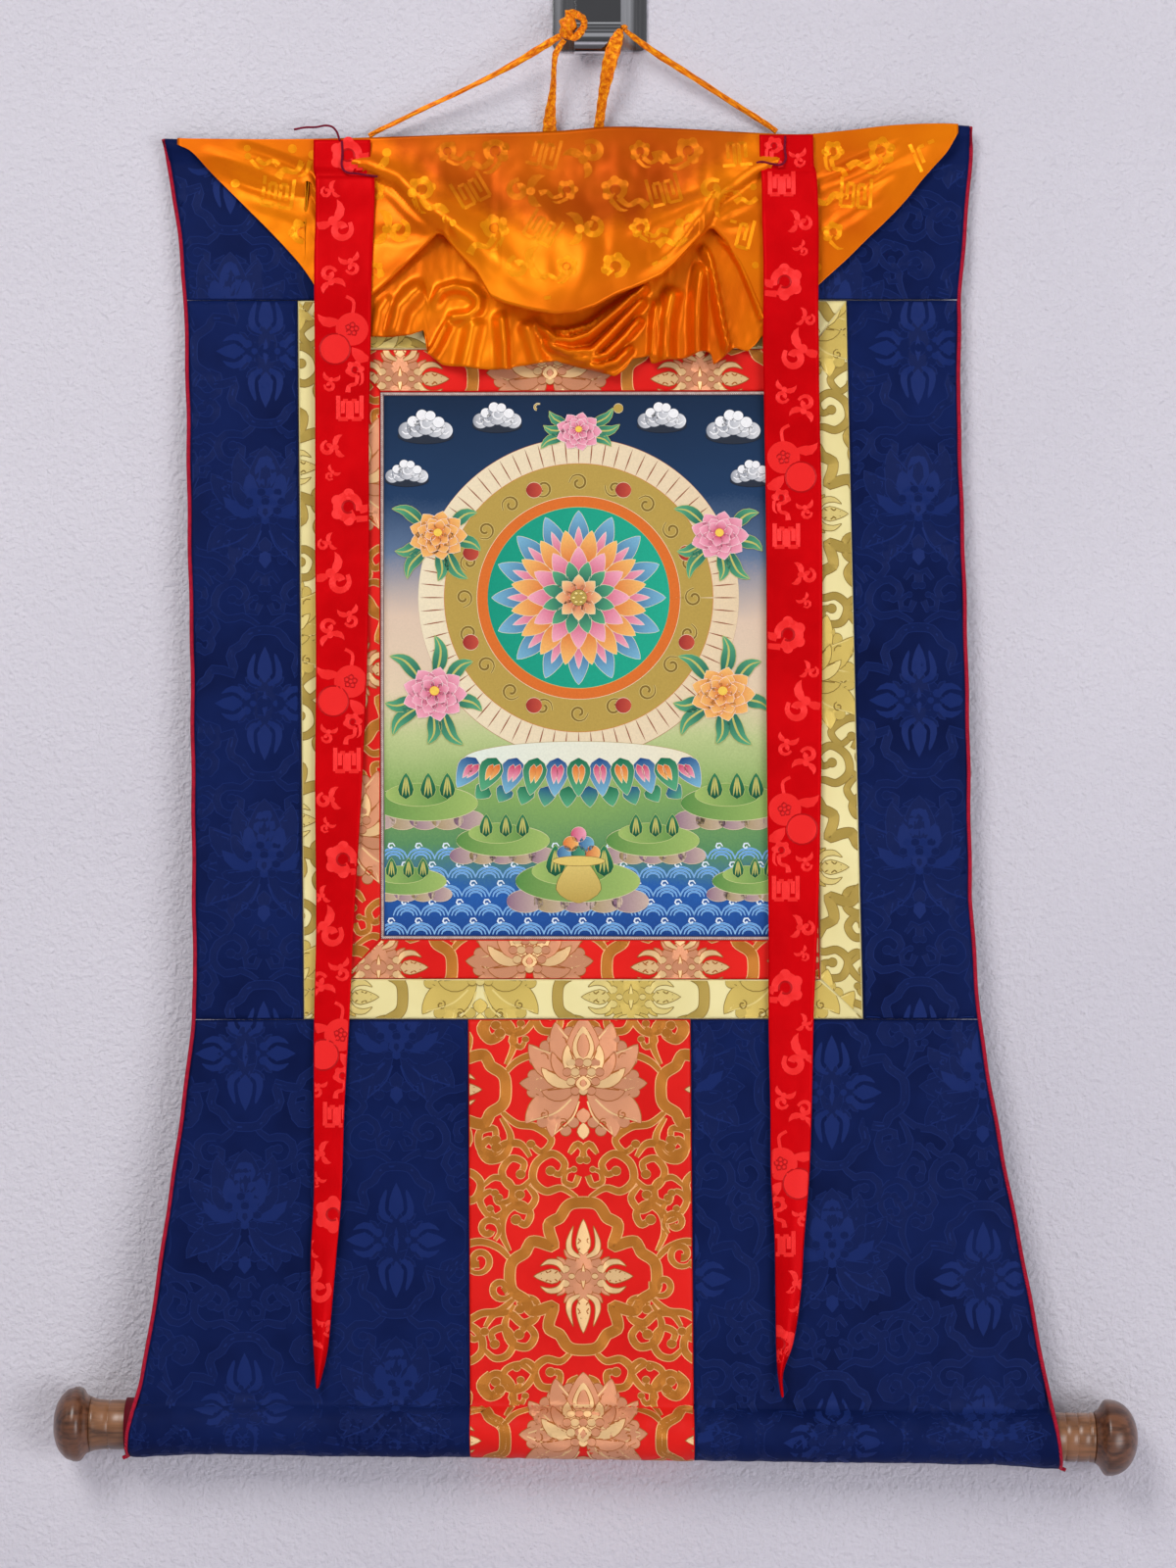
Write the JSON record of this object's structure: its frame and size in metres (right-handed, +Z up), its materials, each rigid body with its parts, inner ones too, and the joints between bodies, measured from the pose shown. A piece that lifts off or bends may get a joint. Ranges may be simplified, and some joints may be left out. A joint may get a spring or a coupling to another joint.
{
  "type": "thangka scroll painting with wall hook",
  "caption": "Scroll painting in brocade frames on navy damask, with a gathered satin veil, hanging ribbons and a turned roller, tied by silk tapes to a square steel wall hook",
  "frame": {"origin": "middle of the wall plate's back face, on the wall plane", "axes": "X to the right as seen from the front, Y into the wall so that the front faces -Y, Z up"},
  "size_m": [0.6924, 0.0489, 0.9758],
  "materials": {
    "plate_steel": "satin",
    "hook_chrome": "polished",
    "rod_wood": "oiled, turned",
    "knob_wood": "oiled, turned",
    "navy_damask": "tone-on-tone damask",
    "door_brocade": "satin brocade with gold thread",
    "red_brocade": "satin brocade with gold thread",
    "gold_brocade": "pale gold brocade",
    "ivory_edge": "matt",
    "painted_canvas": "matt gouache",
    "red_piping": "matt",
    "maroon_lining": "matt",
    "yellow_satin": "satin damask",
    "red_ribbon": "satin damask",
    "maroon_thread": "matt twisted thread",
    "orange_tape": "silk"
  },
  "bodies": {
    "root": {"wall_plate": "plate_steel", "hook_strip": "hook_chrome", "rod": "rod_wood", "knob_left": "knob_wood", "knob_right": "knob_wood", "top_panel": "navy_damask", "side_panel_left": "navy_damask", "side_panel_right": "navy_damask", "lower_panel_left": "navy_damask", "lower_panel_right": "navy_damask", "door_panel": "door_brocade", "painting": "painted_canvas", "piping_left": "red_piping", "piping_right": "red_piping", "pocket_lining": "maroon_lining", "veil": "yellow_satin", "ribbon_left": "red_ribbon", "ribbon_right": "red_ribbon", "gather_thread_left": "maroon_thread", "gather_thread_right": "maroon_thread", "loose_thread": "maroon_thread", "gold_frame_top": "gold_brocade", "red_frame_top": "red_brocade", "canvas_edge_top": "ivory_edge", "gold_frame_bottom": "gold_brocade", "red_frame_bottom": "red_brocade", "canvas_edge_bottom": "ivory_edge", "gold_frame_left": "gold_brocade", "red_frame_left": "red_brocade", "canvas_edge_left": "ivory_edge", "gold_frame_right": "gold_brocade", "red_frame_right": "red_brocade", "canvas_edge_right": "ivory_edge", "tape_left_outer": "orange_tape", "tape_left_inner": "orange_tape", "tape_right_inner": "orange_tape", "tape_right_outer": "orange_tape", "tape_bridge": "orange_tape", "tape_knot": "orange_tape"}
  },
  "joints": []
}
